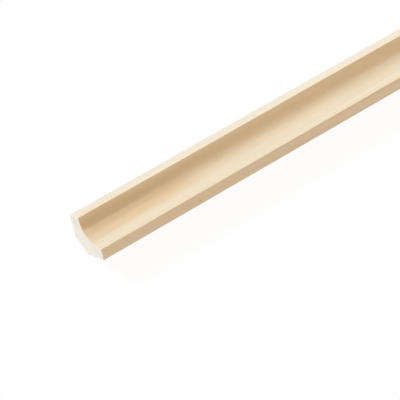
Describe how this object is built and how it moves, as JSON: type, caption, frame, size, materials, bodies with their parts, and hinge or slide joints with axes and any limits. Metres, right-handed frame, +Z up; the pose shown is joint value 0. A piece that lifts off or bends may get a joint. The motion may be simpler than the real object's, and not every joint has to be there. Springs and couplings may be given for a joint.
{
  "type": "cornice moulding",
  "caption": "Straight length of square-section cove moulding in planed pine, with a hollow face between square lips and a bevelled back corner.",
  "frame": {"origin": "on the floor under the middle of the stick, which lies on its back bevel with the cove up", "axes": "+X along the stick, +Y across it towards the wall side, +Z up out of the cove"},
  "size_m": [2.4, 0.028, 0.0139],
  "materials": {
    "planed_pine": "planed and sanded, unfinished"
  },
  "bodies": {
    "root": {"cornice_moulding": "planed_pine"}
  },
  "joints": []
}
